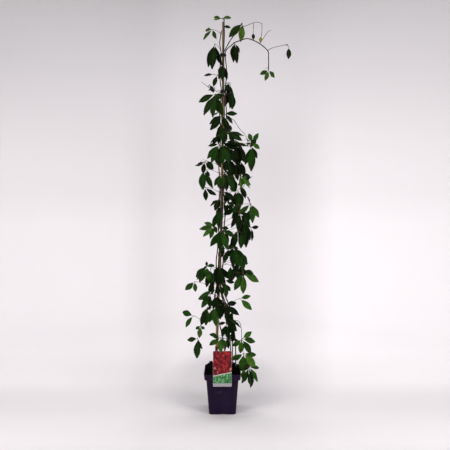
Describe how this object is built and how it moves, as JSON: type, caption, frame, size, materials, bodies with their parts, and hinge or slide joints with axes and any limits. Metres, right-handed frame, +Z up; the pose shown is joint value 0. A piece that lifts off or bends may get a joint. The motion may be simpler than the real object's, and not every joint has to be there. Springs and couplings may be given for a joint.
{
  "type": "potted parthenocissus",
  "caption": "Tall climbing vine with toothed palmate leaves, tied to a bamboo cane in a square nursery pot with a rim label.",
  "frame": {"origin": "middle of the pot's flat base, on the surface it stands on", "axes": "+Z up along the cane, -Y to the front, where the label hangs, +X to the right as seen from the front"},
  "size_m": [0.5124, 0.2005, 1.86],
  "materials": {
    "pot_plastic": "dark plum, satin",
    "peat": "crumbly black peat",
    "bamboo": "natural golden cane",
    "tie_plastic": "soft black",
    "card": "printed card, satin",
    "foliage": "leathery green leaf, satin"
  },
  "bodies": {
    "root": {"pot": "pot_plastic", "soil": "peat", "cane": "bamboo", "tie_1": "tie_plastic", "tie_2": "tie_plastic", "tie_3": "tie_plastic", "tie_4": "tie_plastic", "tie_5": "tie_plastic", "tie_6": "tie_plastic", "label": "card", "vine_front": "foliage", "vine_right": "foliage", "vine_left": "foliage", "vine_back": "foliage"}
  },
  "joints": []
}
